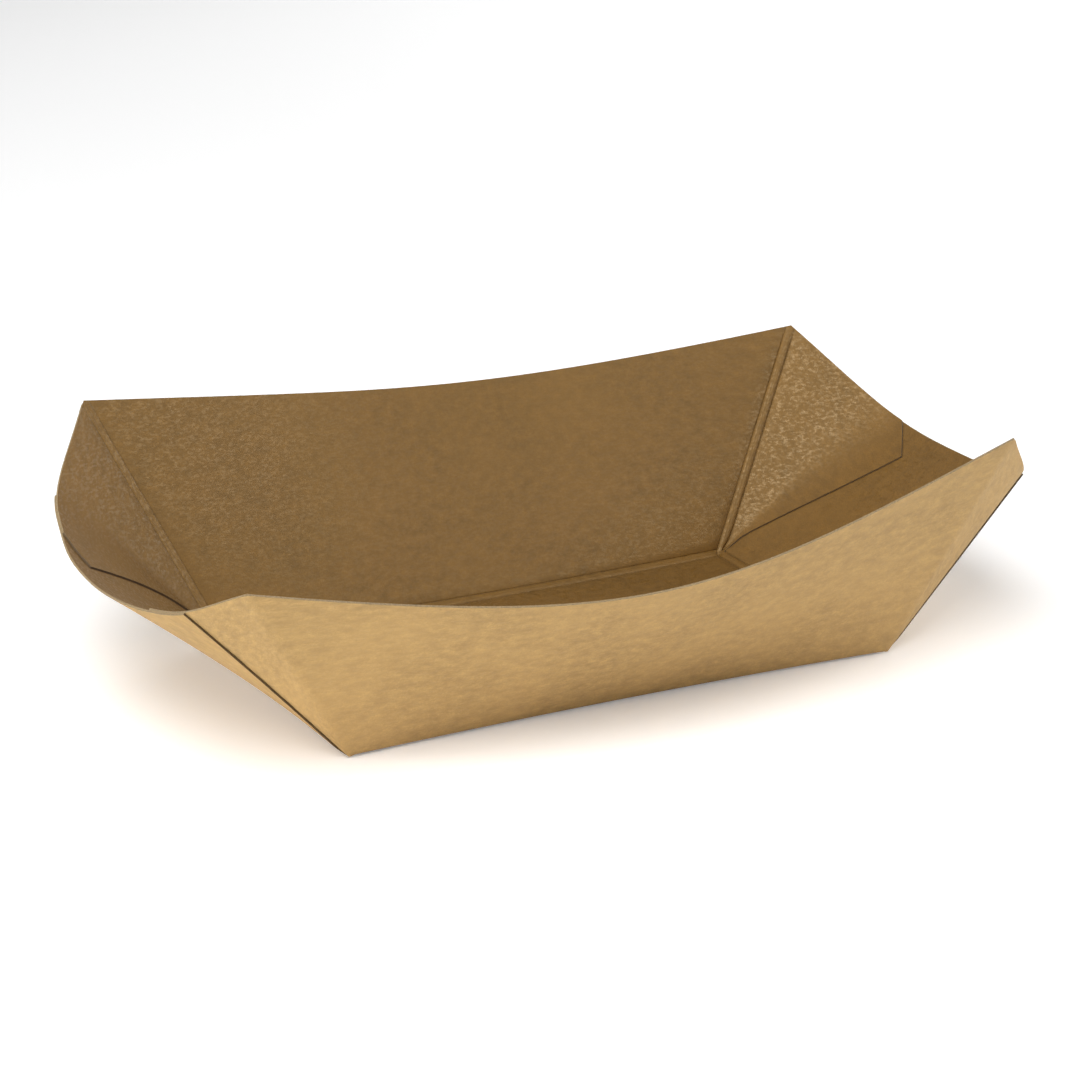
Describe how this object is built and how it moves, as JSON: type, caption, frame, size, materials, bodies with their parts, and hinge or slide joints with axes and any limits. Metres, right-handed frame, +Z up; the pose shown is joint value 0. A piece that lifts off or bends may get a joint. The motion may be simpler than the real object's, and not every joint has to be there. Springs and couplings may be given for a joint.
{
  "type": "paper food tray",
  "caption": "Folded kraft paper food tray: flat base, flaring bowed walls and corner flaps glued inside the end walls.",
  "frame": {"origin": "centre of the tray's box in plan, on the plane it stands on", "axes": "+X along the length, +Y towards the back wall, +Z up"},
  "size_m": [0.1996, 0.1312, 0.0508],
  "materials": {
    "kraft_board": "uncoated, fine fibre, lighter on the outside than the inside"
  },
  "bodies": {
    "root": {"folded_tray": "kraft_board"}
  },
  "joints": []
}
